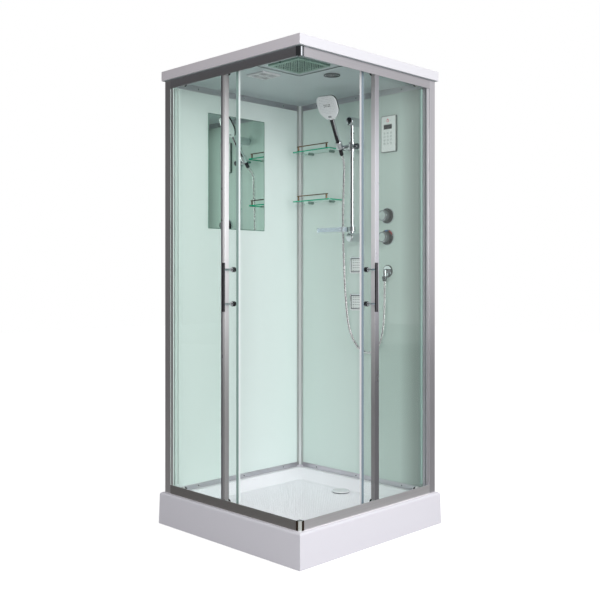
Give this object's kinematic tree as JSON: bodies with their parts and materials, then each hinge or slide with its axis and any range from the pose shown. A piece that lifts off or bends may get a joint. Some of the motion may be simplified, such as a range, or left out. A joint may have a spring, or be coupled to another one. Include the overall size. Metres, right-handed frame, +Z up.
{
  "type": "shower cabin",
  "caption": "Square corner-entry shower cabin: low tray, sliding glass doors, glass back walls, roof with rain head, mixer, hand shower on a slide bar, shelves and mirror.",
  "frame": {"origin": "centre of the tray's footprint on the floor", "axes": "+Z up; the open corner points to +X and -Y; the back glass wall is at +Y and the left glass wall at -X"},
  "size_m": [0.95, 0.95, 2.15],
  "materials": {
    "white_acrylic": "glossy white moulded shell",
    "roof_acrylic": "glossy white moulded shell",
    "zinc_steel": "zinc coated pressed steel",
    "foot_plastic": "moulded black foot",
    "drain_white": "glossy white",
    "drain_grey": "moulded",
    "satin_aluminium": "satin anodised",
    "wall_aluminium": "satin anodised",
    "chrome": "polished",
    "clear_glass": "clear toughened",
    "mint_glass": "back-painted toughened",
    "seal_plastic": "soft extruded seal",
    "axle_steel": "turned",
    "wheel_plastic": "moulded nylon",
    "mirror": "silvered",
    "grille_grey": "moulded",
    "fan_dark": "moulded",
    "panel_white": "glossy",
    "brass": "cast and machined",
    "clear_acrylic": "clear moulded",
    "shelf_glass": "clear toughened, polished edge",
    "handset_white": "chromed body, white face",
    "button_grey": "moulded",
    "hose_steel": "wound steel hose"
  },
  "bodies": {
    "root": {"shower_tray": "white_acrylic", "tray_support_frame": "zinc_steel", "levelling_feet": "foot_plastic", "drain_flange": "drain_grey", "drain_trap": "drain_grey", "bottom_rails": "satin_aluminium", "top_rails": "satin_aluminium", "corner_joints": "chrome", "corner_post_left": "satin_aluminium", "corner_post_right": "satin_aluminium", "corner_post_back": "wall_aluminium", "wall_rails_bottom": "wall_aluminium", "wall_rails_top": "wall_aluminium", "fixed_glass_front": "clear_glass", "fixed_glass_right": "clear_glass", "fixed_edge_profiles": "satin_aluminium", "glazing_seals": "seal_plastic", "roof_canopy": "roof_acrylic", "rain_head": "chrome", "fan_grille": "grille_grey", "fan_housing": "fan_dark", "ceiling_speaker": "grille_grey", "wall_glass_left": "mint_glass", "wall_glass_back": "mint_glass", "wall_mirror": "mirror", "control_panel": "panel_white", "mixer_valve": "brass", "wall_outlet_elbow": "chrome", "body_jets": "chrome", "slide_bar": "chrome", "shower_hose": "hose_steel", "shelf_glasses": "shelf_glass", "shelf_fittings": "chrome", "supply_pipes": "brass"},
    "door_front": {"door_glass_front": "clear_glass", "door_handle_front": "chrome", "door_seals_front": "seal_plastic", "roller_axles_front": "axle_steel"},
    "door_right": {"door_glass_right": "clear_glass", "door_handle_right": "chrome", "door_seals_right": "seal_plastic", "roller_axles_right": "axle_steel"},
    "temperature_knob": {"temperature_knob": "chrome"},
    "diverter_knob": {"diverter_knob": "chrome"},
    "slider": {"slider_clamp": "chrome"},
    "clamp_knob": {"clamp_knob": "chrome"},
    "handset": {"handset_holder": "chrome", "handset": "handset_white"},
    "spray_button": {"spray_button": "button_grey"},
    "soap_dish": {"soap_dish": "clear_acrylic"},
    "fan_impeller": {"fan_impeller": "fan_dark"},
    "drain_cover": {"drain_cover": "drain_white"},
    "wheel_front_bottom_rear": {"wheel_front_bottom_rear": "wheel_plastic"},
    "wheel_front_bottom_front": {"wheel_front_bottom_front": "wheel_plastic"},
    "wheel_front_top_rear": {"wheel_front_top_rear": "wheel_plastic"},
    "wheel_front_top_front": {"wheel_front_top_front": "wheel_plastic"},
    "wheel_right_bottom_rear": {"wheel_right_bottom_rear": "wheel_plastic"},
    "wheel_right_bottom_front": {"wheel_right_bottom_front": "wheel_plastic"},
    "wheel_right_top_rear": {"wheel_right_top_rear": "wheel_plastic"},
    "wheel_right_top_front": {"wheel_right_top_front": "wheel_plastic"}
  },
  "joints": [
    {"name": "door_front_slide", "type": "slide", "parent": "root", "child": "door_front", "axis": [1, 0, 0], "range_m": [0, 0.368]},
    {"name": "door_right_slide", "type": "slide", "parent": "root", "child": "door_right", "axis": [0, -1, 0], "range_m": [0, 0.368]},
    {"name": "wheel_front_bottom_rear_spin", "type": "hinge", "parent": "door_front", "child": "wheel_front_bottom_rear", "pos_m": [-0.343, -0.429, 0.1763], "axis": [0, 1, 0], "range_deg": [0, 1921.8]},
    {"name": "wheel_front_bottom_front_spin", "type": "hinge", "parent": "door_front", "child": "wheel_front_bottom_front", "pos_m": [-0.032, -0.429, 0.1763], "axis": [0, 1, 0], "range_deg": [0, 1921.8]},
    {"name": "wheel_front_top_rear_spin", "type": "hinge", "parent": "door_front", "child": "wheel_front_top_rear", "pos_m": [-0.343, -0.429, 2.0757], "axis": [0, 1, 0], "range_deg": [-1921.8, 0]},
    {"name": "wheel_front_top_front_spin", "type": "hinge", "parent": "door_front", "child": "wheel_front_top_front", "pos_m": [-0.032, -0.429, 2.0757], "axis": [0, 1, 0], "range_deg": [-1921.8, 0]},
    {"name": "wheel_right_bottom_rear_spin", "type": "hinge", "parent": "door_right", "child": "wheel_right_bottom_rear", "pos_m": [0.429, 0.343, 0.1763], "axis": [1, 0, 0], "range_deg": [0, 1921.8]},
    {"name": "wheel_right_bottom_front_spin", "type": "hinge", "parent": "door_right", "child": "wheel_right_bottom_front", "pos_m": [0.429, 0.032, 0.1763], "axis": [1, 0, 0], "range_deg": [0, 1921.8]},
    {"name": "wheel_right_top_rear_spin", "type": "hinge", "parent": "door_right", "child": "wheel_right_top_rear", "pos_m": [0.429, 0.343, 2.0757], "axis": [1, 0, 0], "range_deg": [-1921.8, 0]},
    {"name": "wheel_right_top_front_spin", "type": "hinge", "parent": "door_right", "child": "wheel_right_top_front", "pos_m": [0.429, 0.032, 2.0757], "axis": [1, 0, 0], "range_deg": [-1921.8, 0]},
    {"name": "temperature_turn", "type": "hinge", "parent": "root", "child": "temperature_knob", "pos_m": [0.183, 0.4, 1.368], "axis": [0, 1, 0], "range_deg": [-90, 90]},
    {"name": "diverter_turn", "type": "hinge", "parent": "root", "child": "diverter_knob", "pos_m": [0.183, 0.4, 1.474], "axis": [0, 1, 0], "range_deg": [-90, 90]},
    {"name": "slider_height", "type": "slide", "parent": "root", "child": "slider", "axis": [0, 0, 1], "range_m": [-0.33, 0.03], "deforming": ["shower_hose"]},
    {"name": "clamp_turn", "type": "hinge", "parent": "slider", "child": "clamp_knob", "pos_m": [0.034, 0.368, 1.829], "axis": [1, 0, 0], "range_deg": [0, 180]},
    {"name": "handset_tilt", "type": "hinge", "parent": "slider", "child": "handset", "pos_m": [-0.055, 0.368, 1.829], "axis": [1, 0, 0], "range_deg": [-8, 20]},
    {"name": "button_press", "type": "slide", "parent": "handset", "child": "spray_button", "axis": [-0.1653, 0.8501, 0.5], "range_m": [0, 0.002], "stiffness_N_per_m": 300, "springref_m": -0.002},
    {"name": "soap_dish_height", "type": "slide", "parent": "root", "child": "soap_dish", "axis": [0, 0, 1], "range_m": [0, 0.05]},
    {"name": "fan_spin", "type": "hinge", "parent": "root", "child": "fan_impeller", "pos_m": [-0.056, -0.182, 2.134], "axis": [0, 0, 1], "continuous": true},
    {"name": "drain_cover_lift", "type": "slide", "parent": "root", "child": "drain_cover", "axis": [0, 0, 1], "range_m": [0, 0.03]}
  ],
  "couplings": [
    {"joint": "wheel_front_bottom_rear_spin", "follows": "door_front_slide", "rad_per_m": 90.909},
    {"joint": "wheel_front_bottom_front_spin", "follows": "door_front_slide", "rad_per_m": 90.909},
    {"joint": "wheel_front_top_rear_spin", "follows": "door_front_slide", "rad_per_m": -90.909},
    {"joint": "wheel_front_top_front_spin", "follows": "door_front_slide", "rad_per_m": -90.909},
    {"joint": "wheel_right_bottom_rear_spin", "follows": "door_right_slide", "rad_per_m": 90.909},
    {"joint": "wheel_right_bottom_front_spin", "follows": "door_right_slide", "rad_per_m": 90.909},
    {"joint": "wheel_right_top_rear_spin", "follows": "door_right_slide", "rad_per_m": -90.909},
    {"joint": "wheel_right_top_front_spin", "follows": "door_right_slide", "rad_per_m": -90.909}
  ]
}
